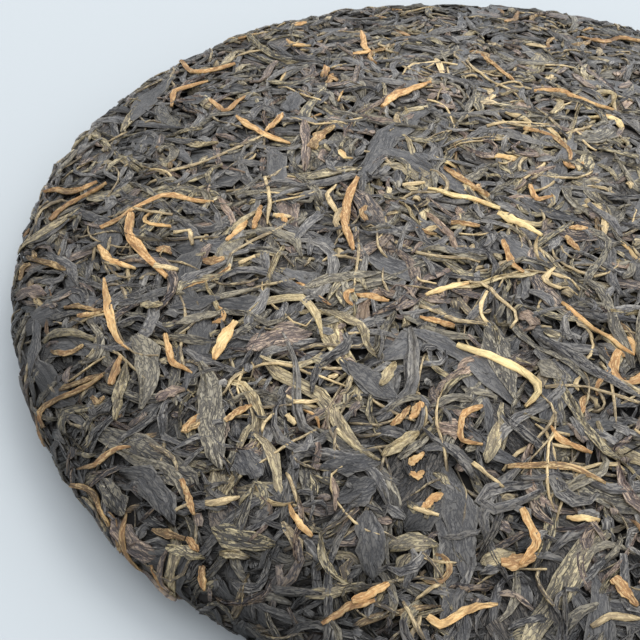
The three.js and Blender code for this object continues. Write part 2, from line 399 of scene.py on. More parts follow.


# %% [markdown]
# ## The landmark leaves
#
# The largest leaves, buds and stalks are what one knows this cake by, so they are laid one by one.
# Each was read from the picture: its kind and finish, its width in millimetres, its tone from 0
# for dull to 1 for bright, and the places in the picture that its middle passes, in pixels. Pale
# pieces look wider there than they are, so buds and stalks are made a little slimmer than they
# were read.

# %% Landmark pieces
LANDMARKS_READ = """
broad_leaf olive 3.0 0.85 263,358 279,373 298,383 322,393 335,411 346,439 356,446 380,458
broad_leaf slate 3.6 0.2 340,358 361,376 382,392 399,399
broad_leaf brown 5.5 0.6 246,348 279,334 312,330
broad_leaf umber 4.5 0.3 487,325 500,352 507,377 515,396
broad_leaf umber 4.6 0.6 135,335 147,354 150,375 140,408
broad_leaf slate 5.0 0.1 173,287 187,260 202,246
broad_leaf slate 3.4 0.2 170,307 195,300 220,297
broad_leaf slate 4.4 0.2 118,469 142,473 160,493 173,524
broad_leaf olive 4.0 0.2 211,527 240,539 275,543
broad_leaf umber 4.0 0.2 100,479 114,499 122,515
broad_leaf slate 5.0 0.3 237,452 261,476
broad_leaf slate 5.2 0.35 446,463 455,490 464,532 467,581
broad_leaf olive 3.2 0.6 389,546 411,539 439,545
broad_leaf olive 3.2 0.8 399,581 407,560 418,552
broad_leaf olive 2.6 0.95 481,562 516,550
broad_leaf olive 2.6 0.7 487,461 494,441 498,420
broad_leaf slate 5.0 0.2 368,510 370,545 373,578
broad_leaf slate 5.5 0.2 338,499 376,480
broad_leaf slate 3.6 0.15 320,466 355,463 382,461
broad_leaf slate 5.0 0.3 131,120 152,92 175,74
broad_leaf slate 4.5 0.4 182,101 211,92
broad_leaf slate 4.5 0.15 273,147 277,165 279,186
broad_leaf slate 5.0 0.3 288,109 297,91
broad_leaf slate 5.5 0.4 314,249 330,235
broad_leaf brown 3.4 0.95 436,426 464,428
broad_leaf brown 3.0 1.0 521,309 541,321
broad_leaf brown 3.2 0.9 13,297 28,290 46,294
broad_leaf umber 3.5 0.8 539,359 573,380
broad_leaf umber 5.0 0.5 200,362 213,390 209,432 221,469
broad_leaf slate 2.8 0.4 35,319 34,347 29,375
twisted_leaf olive 2.6 0.9 15,252 32,238 56,222 79,207
twisted_leaf dark 2.6 0.3 42,249 56,259 70,267 79,287
twisted_leaf olive 1.8 0.7 41,340 53,330 73,330 97,339
twisted_leaf umber 1.7 0.8 87,319 95,326 102,340 101,351 90,361 78,362
twisted_leaf olive 2.2 0.8 114,419 119,389 126,361
twisted_leaf brown 2.2 0.8 156,399 168,392 185,389
twisted_leaf olive 1.7 0.9 140,304 163,304
twisted_leaf umber 2.2 1.0 175,322 203,315 220,312
twisted_leaf umber 2.0 0.6 118,449 142,463 166,465 179,479 184,499
twisted_leaf olive 1.9 0.5 166,546 184,552 204,557
twisted_leaf olive 1.6 0.9 219,552 249,555
twisted_leaf dark 1.8 0.3 225,577 240,587 259,586 267,567 268,553
twisted_leaf umber 2.6 0.8 301,291 326,278 353,275 381,271
twisted_leaf olive 1.7 0.95 248,312 264,299 287,296 304,295 312,305 319,320 322,337
twisted_leaf olive 1.8 0.6 321,310 347,317 366,329 366,343 377,357
twisted_leaf olive 1.9 0.9 381,385 396,362
twisted_leaf olive 2.4 1.0 382,454 402,441 419,431
twisted_leaf umber 1.3 0.6 200,319 225,309 246,312 270,326 280,320 290,313
twisted_leaf umber 1.7 0.8 399,456 418,444 431,431
twisted_leaf dark 2.4 0.1 539,335 574,354 602,375 640,396
twisted_leaf dark 2.2 0.5 540,482 502,485 480,492 476,503 488,511 515,504 540,491
twisted_leaf umber 1.5 0.7 351,588 379,587
twisted_leaf olive 1.4 0.6 320,532 323,560 334,576 351,584
twisted_leaf brown 2.3 0.6 304,120 307,144 304,169
twisted_leaf olive 2.1 0.95 175,136 199,143 218,141
twisted_leaf olive 1.6 0.7 165,134 176,129 203,127
twisted_leaf olive 2.4 0.8 120,130 128,119 138,103
twisted_leaf dark 2.6 0.2 179,203 210,213
twisted_leaf umber 2.0 0.6 241,231 271,228 294,237 302,256
twisted_leaf umber 1.6 0.4 294,171 316,189 326,206
golden_bud golden 1.4 0.15 24,255 36,259 52,264 66,270
golden_bud golden 1.2 0.2 31,249 35,257
golden_bud golden 1.3 0.25 17,279 22,267 29,262
golden_bud golden 1.1 0.3 63,305 77,305 90,309 102,308
golden_bud golden 1.1 0.35 77,315 90,315 104,311
golden_bud golden 1.3 0.3 50,349 60,353 74,350 83,344
golden_bud golden 1.1 0.2 57,388 79,381 104,370
golden_bud golden 1.1 0.3 91,395 97,402 104,396
golden_bud golden 2.9 0.1 312,147 321,130 334,125
golden_bud golden 1.1 0.4 354,291 346,293 347,302 353,305
golden_bud golden 1.4 0.5 356,292 368,295 389,299
golden_bud golden 1.3 0.3 225,421 238,411 252,406
golden_bud golden 1.3 0.3 391,425 402,416 410,404
golden_bud golden 1.1 0.7 562,302 587,322 607,332 622,349 635,354
golden_bud golden 1.3 0.5 420,316 434,319 455,323
golden_bud golden 1.3 0.3 569,227 588,227
golden_bud golden 1.4 0.3 566,235 580,249
golden_bud golden 1.2 0.2 451,222 480,226
golden_bud golden 1.5 0.4 503,240 512,262 524,271
golden_bud golden 1.6 0.7 424,508 431,499 443,493
golden_bud golden 2.8 0.5 501,562 516,562 536,555
golden_bud golden 1.4 0.8 410,472 417,476 424,469
golden_bud golden 1.6 0.8 352,601 369,595 389,584
golden_bud golden 2.4 0.3 203,256 211,259 224,256
stalk straw 1.0 0.6 469,281 480,280 490,287 499,297 517,309 520,316 511,326
stalk straw 0.9 1.0 487,291 482,301 480,311 487,321
stalk straw 1.2 0.5 420,304 438,311 454,318 487,322
stalk straw 1.5 1.0 555,267 544,276 551,284 562,286
stalk straw 0.8 0.5 546,384 588,384 616,394 640,402
stalk straw 1.1 0.9 293,403 318,399
stalk straw 1.3 1.0 287,414 295,423
stalk straw 1.3 1.0 328,376 338,373
stalk straw 0.7 0.9 262,432 264,423 274,414
stalk straw 1.5 0.9 205,503 226,501 240,497
stalk straw 1.1 1.0 413,507 424,511 439,514
stalk straw 0.9 0.6 403,601 417,628 424,640
stalk straw 1.4 0.9 273,214 291,216
stalk straw 1.3 0.9 336,182 326,193 336,209
stalk straw 1.3 1.0 238,261 255,256
stalk straw 1.5 0.9 154,266 178,269
golden_bud golden 1.6 0.5 180,61 190,71 204,73 235,63
golden_bud golden 1.6 0.8 171,104 173,90 208,80
golden_bud golden 1.6 0.6 210,98 224,110 245,94
golden_bud golden 1.8 0.7 236,115 263,133 290,141
golden_bud golden 1.6 0.5 283,113 265,131
stalk straw 1.0 0.6 159,173 204,161 263,135
golden_bud golden 1.4 0.6 100,227 131,210 167,191 192,201 214,202
golden_bud golden 2.2 0.7 131,212 127,235 143,251 155,267 167,276
stalk straw 0.9 0.7 133,208 173,215
golden_bud golden 1.6 0.9 98,245 110,261 135,267
golden_bud golden 1.5 0.4 44,192 82,190 96,180
golden_bud golden 1.5 0.5 49,218 67,202 86,194 106,182
golden_bud golden 1.4 0.5 253,227 261,204
stalk straw 1.0 0.7 265,176 270,198 267,222
golden_bud golden 1.8 0.9 104,278 110,320 116,340 129,349
golden_bud golden 1.4 0.8 227,240 247,219
stalk straw 1.1 0.8 173,231 190,229 192,243
golden_bud golden 2.4 0.6 382,106 398,92 431,82
golden_bud golden 1.6 0.8 362,31 364,47 373,51 353,54
golden_bud golden 1.5 1.0 428,187 451,194 467,196 500,208
golden_bud golden 2.0 1.0 498,213 524,223 542,235
golden_bud golden 2.1 0.4 358,176 347,196 344,216 353,249
golden_bud golden 1.4 0.9 426,294 447,286 471,280
golden_bud golden 1.4 0.5 530,184 536,198 553,196
golden_bud golden 1.5 0.6 534,91 561,88 583,100 614,110
golden_bud golden 1.7 0.5 577,34 606,42 616,36 640,41
stalk straw 1.0 0.6 467,59 477,72 504,73
golden_bud golden 1.3 0.3 481,54 514,78
golden_bud golden 1.4 0.2 524,127 555,137 571,151 569,167
golden_bud golden 1.7 0.2 444,167 489,196
golden_bud golden 1.4 0.8 165,333 171,361 192,372
golden_bud golden 2.6 0.9 235,320 220,344 214,359
golden_bud golden 1.8 0.7 109,383 120,355
golden_bud golden 1.3 0.4 39,428 37,412 59,396 86,385 102,373
golden_bud golden 1.2 0.5 73,469 96,463 114,447 130,446
golden_bud golden 1.2 0.3 70,485 88,489 100,508 110,526
golden_bud golden 1.2 0.5 182,479 190,504 194,514
golden_bud golden 1.5 0.7 186,536 198,551
golden_bud golden 1.3 0.5 200,565 204,591
golden_bud golden 1.3 0.9 289,504 296,520 312,536
golden_bud golden 1.6 0.3 151,529 184,538
golden_bud golden 1.8 1.0 457,343 493,355 524,369 545,385 526,404
golden_bud golden 1.3 0.5 483,404 463,412 459,438 483,444
golden_bud golden 1.8 0.6 422,401 410,418
golden_bud golden 1.7 0.8 409,463 424,451
golden_bud golden 1.5 0.6 551,426 557,436 593,451
golden_bud golden 1.4 0.2 508,465 573,466 606,483
stalk straw 0.9 0.9 473,461 504,487
golden_bud golden 1.7 0.8 522,508 532,528 538,544 520,565
golden_bud golden 1.3 1.0 567,516 600,520
golden_bud golden 1.6 1.0 428,616 440,626 475,606 498,604
golden_bud golden 1.4 0.6 322,624 347,606 375,600
golden_bud golden 1.4 0.9 350,604 388,583
golden_bud golden 2.2 0.5 614,577 626,591 638,606
stalk straw 1.5 0.8 591,626 610,616 640,618
broad_leaf slate 4.6 0.1 347,361 398,398
"""

# %% Read the list of landmarks
# How much slimmer pale pieces are than they look
BLOOM = {"golden_bud": 0.88, "stalk": 0.78}


def landmark(line):
    """One line of the list as (kind, finish, width, tone, places on the unrolled face)."""
    kind, finish, width, tone, *places = line.split()
    pixels = np.array([place.split(",") for place in places], float)
    return kind, finish, float(width) * BLOOM.get(kind, 1.0), float(tone), where_seen(pixels)


LANDMARKS = [landmark(line) for line in LANDMARKS_READ.strip().splitlines()]
print("landmarks", len(LANDMARKS), "first at", LANDMARKS[0][4][0].round(1))

# %% A smooth path through the places of a landmark
PATH_POINTS = 60
PATH_ROUNDS = 30


def evenly(line, count):
    """A line of points again with so many even steps, and its length."""
    length = np.concatenate([[0], np.cumsum(np.hypot(*np.diff(line, axis=0).T))])
    even = np.linspace(0, length[-1], count)
    return np.stack([np.interp(even, length, line[:, k]) for k in (0, 1)], 1), length[-1]


def through(knots, rows):
    """A smooth path of even steps through a few points of the unrolled face, and its length."""
    line, _ = evenly(knots, PATH_POINTS)
    for _ in range(PATH_ROUNDS):
        line[1:-1] = (line[:-2] + 2 * line[1:-1] + line[2:]) / 4
    return evenly(line, rows)


print("the first is", round(through(LANDMARKS[0][4], PATH_POINTS)[1], 1), "mm long")


# %% Grow every leaf
TIP_REACH = 2.0
SHORTER_MORE_OFTEN = 1.5
SLIMMER_MORE_OFTEN = 1.2

# The share of leaves that lie beside another of their kind, and how far aside in millimetres
BUNDLES = {
    "twisted_leaf": (0.4, 2.0),
    "leaf_strip": (0.4, 1.4),
    "stalk": (0.35, 1.3),
    "golden_bud": (0.3, 1.1),
}


def grow(kind):
    """All the leaves of one kind: where their middles pass, and their sizes."""
    sizes = KINDS[kind]
    face, back = COUNTS[kind]
    rows = sizes["rows"]
    arc, turn = scatter(face, back)
    count = len(arc)
    heading = 2 * np.pi * random.random(count)
    if kind in BUNDLES:
        in_bundles(arc, turn, heading, *BUNDLES[kind])
    length = between(sizes["length"], count, SHORTER_MORE_OFTEN)
    width = between(sizes["width"], count, SLIMMER_MORE_OFTEN)
    bends = curls(count, rows, sizes["bend"])
    points, normals = lead(arc, turn, heading, length, bends)
    points, normals = points[:, :rows], normals[:, :rows]
    tone = random.random(count)
    placed = [entry for entry in LANDMARKS if entry[0] == kind]
    for _, _, wide, bright, knots in placed:
        line, long = through(knots, rows)
        spot = surface(np.hypot(*line.T), np.arctan2(line[:, 1], line[:, 0]))
        points = np.concatenate([points, spot[0][None]])
        normals = np.concatenate([normals, spot[1][None]])
        length = np.append(length, long + TIP_REACH)
        width = np.append(width, wide)
        tone = np.append(tone, bright)
    return dict(
        kind=kind,
        points=points,
        normals=normals,
        length=length,
        width=width,
        thick=between(sizes["thick"], len(length)),
        tone=tone,
        placed=len(placed),
        finish=[entry[1] for entry in placed],
    )


leaves = {kind: grow(kind) for kind in KINDS}
print({kind: len(batch["length"]) for kind, batch in leaves.items()})

# %% [markdown]
# ## The shape of one leaf
#
# Seen from above, a leaf swells from its torn root and narrows to its tip. Cut across, it shows
# what happened to it: a broad leaf is flat with a midrib and turned edges, a twisted one is round
# and creased, and the creases wind slowly round it. Both are plain functions of two shares, along
# the leaf and across it, and every leaf gets its own random numbers to put in them.

# %% Outline of a leaf
def wave(share, turns, dice, first):
    """A smooth random rise and fall along a leaf, from -1 to 1."""
    phase, pace = dice[:, first, None], dice[:, first + 1, None]
    return np.sin(2 * np.pi * (turns * (0.6 + 0.8 * pace) * share + phase))


# How wide the root and the tip of each kind are, as shares of its widest place
ENDS = {
    "under_leaf": (0.5, 0.4),
    "broad_leaf": (0.25, 0.12),
    "twisted_leaf": (0.35, 0.16),
    "leaf_strip": (0.45, 0.25),
    "golden_bud": (0.5, 0.3),
    "stalk": (0.8, 0.6),
    "leaf_bit": (0.5, 0.35),
}
LEAST_END = 0.08
ROOT_POWER = 0.8
TIP_POWER = 0.9
SLOW_WAVES = 1.6
SLOW_DEPTH = 0.2
QUICK_WAVES = 4.0
QUICK_DEPTH = 0.15


def half_widths(kind, share, width, dice):
    """How far a leaf reaches to its left and right along its length, in millimetres."""
    root, tip = (
        np.clip(end * (0.5 + dice[:, k, None]), LEAST_END, 1) for k, end in enumerate(ENDS[kind])
    )
    middle = 0.32 + 0.3 * dice[:, 2, None]
    rise = np.sin(np.pi / 2 * np.clip(share / middle, 0, 1)) ** ROOT_POWER
    fall = np.sin(np.pi / 2 * np.clip((1 - share) / (1 - middle), 0, 1)) ** TIP_POWER
    swell = np.where(share < middle, root + (1 - root) * rise, tip + (1 - tip) * fall)
    sides = []
    for first in (3, 7):
        slow = SLOW_DEPTH * wave(share, SLOW_WAVES, dice, first)
        quick = QUICK_DEPTH * wave(share, QUICK_WAVES, dice, first + 2)
        sides.append(swell * (1 + slow + quick))
    return np.stack(sides, -1) * width[:, None, None] / 2


narrowest = min(kind_of["width"][0] for kind_of in KINDS.values())
print("half widths from", narrowest / 2, "mm")


# %% Section of a leaf
# Heights in a section are shares of the leaf's thickness
EDGE_TOP = 0.72
EDGE_UNDER = 0.38
LOWEST_TOP = 0.2
HIGHEST_TOP = 2.2
ROUGHNESS = 0.09
COLUMN_SHIFT = 0.55
COLUMN_DRIFT = 0.22
RIB_UP = 0.45
RIB_DOWN = -0.5
TURNED_UP = (1.0, 0.8)

# How deep the folds of each kind are
FOLDS = {
    "under_leaf": 0.12,
    "broad_leaf": 0.2,
    "twisted_leaf": 0.42,
    "leaf_strip": 0.36,
    "golden_bud": 0.38,
    "stalk": 0.0,
    "leaf_bit": 0.3,
}


def add_midrib(top, share, dice):
    """Raises or sinks the midrib of broad leaves, and turns the sides of some of them up."""
    rib = np.where(dice[:, 14] > 0.5, RIB_UP, RIB_DOWN)[:, None] * (1 - 0.6 * share)
    top[..., top.shape[-1] // 2] = 1 + rib
    turned = (dice[:, 18, None] > 0.6) * (0.5 + 0.5 * wave(share, 0.9, dice, 15))
    top[..., 1] += TURNED_UP[0] * turned
    top[..., -2] += TURNED_UP[1] * turned * (dice[:, 19, None] > 0.5)


def sections(kind, share, dice):
    """Where the columns of points lie across each leaf, and their heights over and under it."""
    columns = KINDS[kind]["columns"]
    count, rows = len(dice), share.shape[1]
    even = np.linspace(-1, 1, columns)[None, None]
    inner = 1 - even**2
    shift = random.uniform(-COLUMN_SHIFT, COLUMN_SHIFT, (count, 1, columns)) / columns
    drift = COLUMN_DRIFT * wave(share, 0.8, dice, 11)[..., None]
    side = even + (shift + drift) * inner
    turns = random.uniform(0.3, 1.3, (count, 1, columns))
    phase = random.random((count, 1, columns))
    sway = 0.6 + 0.4 * np.sin(2 * np.pi * (turns * share[..., None] + phase))
    first_up = dice[:, 13, None] > 0.5
    sign = np.where((np.arange(columns) + first_up) % 2 == 0, 1, -1)[:, None]
    deep = FOLDS[kind] * random.uniform(0.4, 1.5, (count, 1, columns))
    top = 1 + sign * deep * sway
    if kind == "broad_leaf":
        add_midrib(top, share, dice)
    top = top + random.normal(0, ROUGHNESS, (count, rows, columns))
    top[..., [0, -1]] *= EDGE_TOP
    under = np.zeros((count, rows, columns))
    under[..., [0, -1]] = EDGE_UNDER
    side = np.clip(side, -1, 1) * np.ones((count, rows, 1))
    return side, np.clip(top, LOWEST_TOP, HIGHEST_TOP), under


print("sections of", {kind: sizes["columns"] for kind, sizes in KINDS.items()}, "points")


# %% [markdown]
# ## Laying the leaves
#
# In the real cake every leaf lies on those under it and is soft enough to sag between them. A
# cloth simulation of thousands of leaves would take hours. Instead a map of heights over the
# cake is kept, one for the face and one for the back, each unrolled flat from its centre. A leaf
# reads the map where it lies, takes a smoothed copy of it as its own underside, adds its
# thickness, and writes its top back. So each leaf drapes over the last, in thousandths of a second.

# %% Height maps of the two sides
# A cell is a square with this side. Round the edge the two maps overlap by so much.
CELL = 0.3
OVERLAP = 20.0
MAP_REACH = max(EDGE_ARC, WHOLE_ARC - EDGE_ARC) + OVERLAP + 2
MAP_CELLS = int(2 * MAP_REACH / CELL) + 1
heights = {side: np.zeros(MAP_CELLS**2) for side in ("face", "back")}
owners = {side: np.full(MAP_CELLS**2, -1) for side in ("face", "back")}


def unrolled(arc, turn, side):
    """Places on the flat map of one side, in millimetres from its middle."""
    reach = arc if side == "face" else WHOLE_ARC - arc
    return np.stack([reach * np.cos(turn), reach * np.sin(turn)], -1)


def cells_of(places):
    """The map's cells that places fall in."""
    cell = np.clip(np.rint((places + MAP_REACH) / CELL).astype(int), 0, MAP_CELLS - 1)
    return cell[..., 0] * MAP_CELLS + cell[..., 1]


def soften(values, reach, axis):
    """A running mean along one axis, which keeps the ends as they are."""
    if reach < 1:
        return values
    values = np.moveaxis(values, axis, 0)
    before = np.repeat(values[:1], reach + 1, 0)
    after = np.repeat(values[-1:], reach, 0)
    total = np.cumsum(np.concatenate([before, values, after]), 0)
    window = 2 * reach + 1
    return np.moveaxis((total[window:] - total[:-window]) / window, 0, axis)


def finer(coarse, rows, columns):
    """A grid of places with more rows and columns, by straight lines between the given ones."""
    for axis, count in ((0, rows), (1, columns)):
        spot = np.linspace(0, coarse.shape[axis] - 1, count)
        low = np.minimum(spot.astype(int), coarse.shape[axis] - 2)
        part = (spot - low).reshape((-1, 1, 1) if axis == 0 else (1, -1, 1))
        coarse = np.take(coarse, low, axis) * (1 - part) + np.take(coarse, low + 1, axis) * part
    return coarse


print("maps of", MAP_CELLS, "by", MAP_CELLS, "cells")

# %% The strip that each leaf covers
# Each leaf gets as many random numbers of its own as there are dice, and each use reads its own.
# A leaf dives under its neighbours here and there, but landmark leaves hardly do.
DICE = 24
DIVE_SPAN = 15.0
DIVE_DEPTH = 0.8
LANDMARK_DIVE = 0.2


def spread(batch):
    """Adds the places of all of a leaf's points on the cake, its section and its random numbers."""
    points, normals = batch["points"], batch["normals"]
    count, rows = points.shape[:2]
    dice = random.random((count, DICE))
    share = np.linspace(0, 1, rows)[None]
    half = half_widths(batch["kind"], share, batch["width"], dice)
    side, crest, under = sections(batch["kind"], share, dice)
    ways = np.gradient(points, axis=1)
    ways /= np.linalg.norm(ways, axis=-1, keepdims=True)
    across = np.cross(normals, ways)
    aside = side * np.where(side < 0, half[..., :1], half[..., 1:])
    places = points[:, :, None] + across[:, :, None] * aside[..., None]
    batch["arc"] = arc_of(places)
    batch["turn"] = np.arctan2(places[..., 1], places[..., 0])
    batch["on_face"] = batch["arc"].mean((1, 2)) <= EDGE_ARC
    batch["crest"] = crest * batch["thick"][:, None, None]
    batch["under"] = under * batch["thick"][:, None, None]
    turns = batch["length"] / DIVE_SPAN * (0.7 + 0.6 * dice[:, 22])
    wavy = np.sin(2 * np.pi * (turns[:, None] * share + dice[:, 23, None]))
    batch["dive"] = random.random((count, 1)) * DIVE_DEPTH * np.clip(wavy, 0, 1)
    if batch["placed"]:
        batch["dive"][-batch["placed"] :] *= LANDMARK_DIVE
    batch["aside"], batch["side"], batch["dice"] = aside, side, dice


for batch in leaves.values():
    spread(batch)
widest = max(np.abs(batch["aside"]).max() for batch in leaves.values())
print("strips reach", round(float(widest), 1), "mm aside")

# %% Lay one leaf on the map
# A leaf sags over this many millimetres. Its ends are tucked under over the tuck's length.
SAG = 1.0
FINE = 0.8 * CELL
TUCK_LENGTH = 3.5


def put(side, cell, top, number):
    """Writes a leaf's top into one map where it is the highest."""
    higher = top > heights[side][cell]
    heights[side][cell[higher]] = top[higher]
    owners[side][cell[higher]] = number


def lay(batch, i, number):
    """Lays one leaf on the height maps, and returns the heights of its underside at its points."""
    arc, turn = batch["arc"][i], batch["turn"][i]
    side, other = ("face", "back") if batch["on_face"][i] else ("back", "face")
    rows = max(6, int(batch["length"][i] / FINE))
    columns = max(5, int(batch["width"][i] / FINE) + 1)
    cell = cells_of(finer(unrolled(arc, turn, side), rows, columns))
    under = heights[side][cell]
    rest = under.copy()
    rest[:, 1:] = np.maximum(rest[:, 1:], under[:, :-1])
    rest[:, :-1] = np.maximum(rest[:, :-1], under[:, 1:])
    stiff = SAG / FINE * (0.6 + 0.7 * batch["dice"][i, 20])
    for _ in range(2):
        rest = soften(rest, int(1.5 * stiff), 0)
        rest = soften(rest, min(int(stiff), columns // 3), 1)
    share = np.linspace(0, 1, rows)[:, None]
    end = np.clip(TUCK_LENGTH / batch["length"][i], 0.05, 0.4)
    rest = rest - batch["tuck"][i, 0] * np.clip(1 - share / end, 0, 1) ** 2
    rest = rest - batch["tuck"][i, 1] * np.clip(1 - (1 - share) / end, 0, 1) ** 2
    rest = rest - finer(np.repeat(batch["dive"][i][:, None, None], 2, 1), rows, 2)[:, :1, 0]
    top = rest + finer(batch["crest"][i][..., None], rows, columns)[..., 0]
    put(side, cell, top, number)
    if (np.abs(arc - EDGE_ARC) < OVERLAP).any():
        put(other, cells_of(finer(unrolled(arc, turn, other), rows, columns)), top, number)
    row = np.rint(np.linspace(0, rows - 1, arc.shape[0])).astype(int)
    column = np.rint(np.linspace(0, columns - 1, arc.shape[1])).astype(int)
    return rest[row][:, column]


def too_high(batch, i, level):
    """Whether a leaf would lie on a heap that is higher than its surroundings should be."""
    side = "face" if batch["on_face"][i] else "back"
    cell = cells_of(unrolled(batch["arc"][i], batch["turn"][i], side))
    return heights[side][cell].mean() > level


# %% The order of laying
# Each leaf has a rank, and they are laid from the lowest rank to the highest. Some kinds aren't
# laid before a certain rank, and broad leaves not after one.
EARLIEST = {"golden_bud": 0.3, "stalk": 0.3, "leaf_bit": 0.45, "leaf_strip": 0.15}
LATEST_BROAD = 0.93

# Landmark leaves lie under the last of the others, and landmark buds and stalks on top
LANDMARK_RANK = {
    "under_leaf": 0,
    "broad_leaf": 0.955,
    "twisted_leaf": 0.975,
    "leaf_strip": 1,
    "golden_bud": 2,
    "stalk": 3,
    "leaf_bit": 3,
}
LANDMARK_SPREAD = 0.05


def laying_order():
    """Every leaf as (rank, kind, index): under leaves first, then the rest mixed."""
    order = []
    for kind, batch in leaves.items():
        count = len(batch["length"])
        rank = random.random(count)
        if kind == "under_leaf":
            rank -= 1.0
        if kind in EARLIEST:
            rank = EARLIEST[kind] + (1 - EARLIEST[kind]) * rank
        if kind == "broad_leaf":
            rank = rank * LATEST_BROAD
        mixed = LANDMARK_SPREAD * random.random(batch["placed"])
        rank[count - batch["placed"] :] = LANDMARK_RANK[kind] + mixed
        order += [(rank[i], kind, i) for i in range(count)]
    return sorted(order)


# %% Lay them all
# Leaves are left out where the map is higher than a level, which rises from its start while they
# are laid. The small ones fall where it is low. Less than the least area that shows isn't kept.
LEVEL_START = 0.6
LEVEL_RISE = 1.6
FILLING = {"leaf_bit": 0.72, "leaf_strip": 0.88}
LEAST_SHOWN = 1.2
TUCK_DEPTH = 0.9
LANDMARK_TUCK = 0.3


def drop_hidden(order):
    """Leaves out every leaf that nothing shows of."""
    shown = np.zeros(len(order), int)
    for owner in owners.values():
        shown = np.maximum(shown, np.bincount(owner[owner >= 0], minlength=len(order)))
    for number, (_, kind, i) in enumerate(order):
        leaves[kind]["laid"][i] &= shown[number] * CELL**2 > LEAST_SHOWN


def lay_all():
    """Lays every leaf in turn, but for those that would stand on a heap or be hidden."""
    order = laying_order()
    for batch in leaves.values():
        count = len(batch["length"])
        batch["tuck"] = random.random((count, 2)) ** 2 * TUCK_DEPTH
        if batch["placed"]:
            batch["tuck"][-batch["placed"] :] *= LANDMARK_TUCK
        batch["rest"] = np.zeros(batch["arc"].shape)
        batch["laid"] = np.zeros(count, bool)
    for number, (_, kind, i) in enumerate(order):
        batch = leaves[kind]
        level = LEVEL_START + LEVEL_RISE * number / len(order)
        by_chance = i < len(batch["laid"]) - batch["placed"]
        if by_chance and too_high(batch, i, level * FILLING.get(kind, 1)):
            continue
        batch["rest"][i] = lay(batch, i, number)
        batch["laid"][i] = True
    drop_hidden(order)


lay_all()
for kind, batch in leaves.items():
    print(kind, batch["laid"].sum(), "kept of", len(batch["laid"]))
print("heights", np.percentile(heights["face"][heights["face"] > 0], [1, 10, 50, 90, 99]).round(2))

# %% [markdown]
# ## The press
#
# Under the stone the high places are squeezed flat and the low ones keep their gaps. Heights are
# first measured from the mean of their surroundings, so that no heap is left, and then bent by a
# curve that is gentle for high values and steep for low ones. The curve never turns back, so what
# lay higher still does. Only the underside of a leaf goes through it, and the leaf's own crest is
# added on it after that, so that its folds stay. Near the edge the stone presses less, and leaves
# are loose. Last, the board under the back holds up what would lie below it.

# %% Mean heights of the surroundings
MEAN_REACH = 4.5
MEAN_ROUNDS = 3
REACH_OF_A_ROUND = 1.7


def mean_heights(values):
    """The mean height of the surroundings of each cell."""
    values = values.reshape(MAP_CELLS, MAP_CELLS)
    for _ in range(MEAN_ROUNDS):
        for axis in (0, 1):
            values = soften(values, int(MEAN_REACH / CELL / REACH_OF_A_ROUND), axis)
    return values.ravel()


means = {side: mean_heights(values) for side, values in heights.items()}
print("mean heights up to", {side: round(float(mean.max()), 2) for side, mean in means.items()})

# %% Pressing the heights
# The slopes of the curve for high and low values, and how much steeper they are at the loose edge
TOP_SLOPE = 0.2
TOP_SLOPE_LOOSE = 0.2
LOW_SLOPE = 0.85
LOW_SLOPE_LOOSE = 0.3
LEAF_DEPTH = 0.35
KNEE = 0.25
EDGE_LOOSE = 24.0
LOOSE_POWER = 1.5

# How far leaves may stand over the outline, on the face and at the loose edge
CEILING = 0.55
CEILING_LOOSE = 0.45
CEILING_SOFTNESS = 0.3
BACK_FROM = 10.0
BACK_OVER = 12.0
SWELL_HEIGHT = 0.16


def loose(arc):
    """How loose the leaves are, from 0 in the middle to 1 at the edge."""
    return np.clip(1 - np.abs(arc - EDGE_ARC) / EDGE_LOOSE, 0, 1) ** LOOSE_POWER


def swells(arc, turn):
    """The slow unevenness of the whole cake: a few waves of 30 to 130 mm that cross."""
    reach = np.interp(arc, ARC, RADIUS)
    x, y = reach * np.cos(turn), reach * np.sin(turn)
    field = np.sin(x / 17 + 1.3) * np.sin(y / 21 + 0.4) + 0.6 * np.sin(x / 9.5 - y / 12 + 2.0)
    field = field + 0.5 * np.sin((x + y) / 7 + 4.1)
    return SWELL_HEIGHT * field * (1 + 1.2 * loose(arc))


def pressed(height, arc, turn, on_face):
    """How far over the press outline a laid height ends up, in millimetres."""
    mean = np.zeros_like(height)
    for side in ("face", "back"):
        cell = cells_of(unrolled(arc, turn, side))
        chosen = on_face if side == "face" else ~on_face
        mean = np.where(chosen, means[side][cell], mean)
    over = height - mean
    slack = loose(arc)
    knee = KNEE * (1 + 0.5 * slack)
    sunk = knee * np.logaddexp(0, -over / knee)
    high = (TOP_SLOPE + TOP_SLOPE_LOOSE * slack) * over
    low = (LOW_SLOPE + LOW_SLOPE_LOOSE * slack) * sunk
    level = high - low - LEAF_DEPTH
    back = np.clip((arc - EDGE_ARC - BACK_FROM) / BACK_OVER, 0, 1)
    ceiling = CEILING * (1 - back) + CEILING_LOOSE * slack
    below = np.logaddexp(0, (ceiling - level) / CEILING_SOFTNESS)
    return ceiling - CEILING_SOFTNESS * below + swells(arc, turn) * (1 - back)


# %% [markdown]
# ## Meshes of the leaves
#
# The leaves of one kind and finish are one mesh of many closed strips. A strip has a row of points
# over the top and as many under it, and a cap at each end. Points, faces and the two sets of
# values that the materials read are handed to Blender as whole arrays, because adding them one by
# one is slow.

# %% The board under the back
BOARD_GAP = 0.04
BOARD_SOFTNESS = 0.22


def on_board(points):
    """Presses what would lie below the board up to it. What was lower stays lower."""
    over = (points[..., 2] - BOARD_GAP) / BOARD_SOFTNESS
    points[..., 2] = BOARD_GAP + BOARD_SOFTNESS * np.logaddexp(0, over)
    return points


print("a point on the table rises to", on_board(np.zeros((1, 3)))[0, 2].round(2), "mm")

# %% Points of one kind
# Leaves are painted darker the nearer they lie to the edge, within the reach of this painted shade,
# as the rim turns away from the light: their tone is lowered, and they count as lying deeper.
# Each leaf reads its own part of a pattern, somewhere in the seed span.
LEAST_THICKNESS = 0.14
EDGE_SHADE_REACH = 55.0
EDGE_SHADE_TONE = 0.3
EDGE_SHADE_DEPTH = 0.75
SEED_SPAN = 900


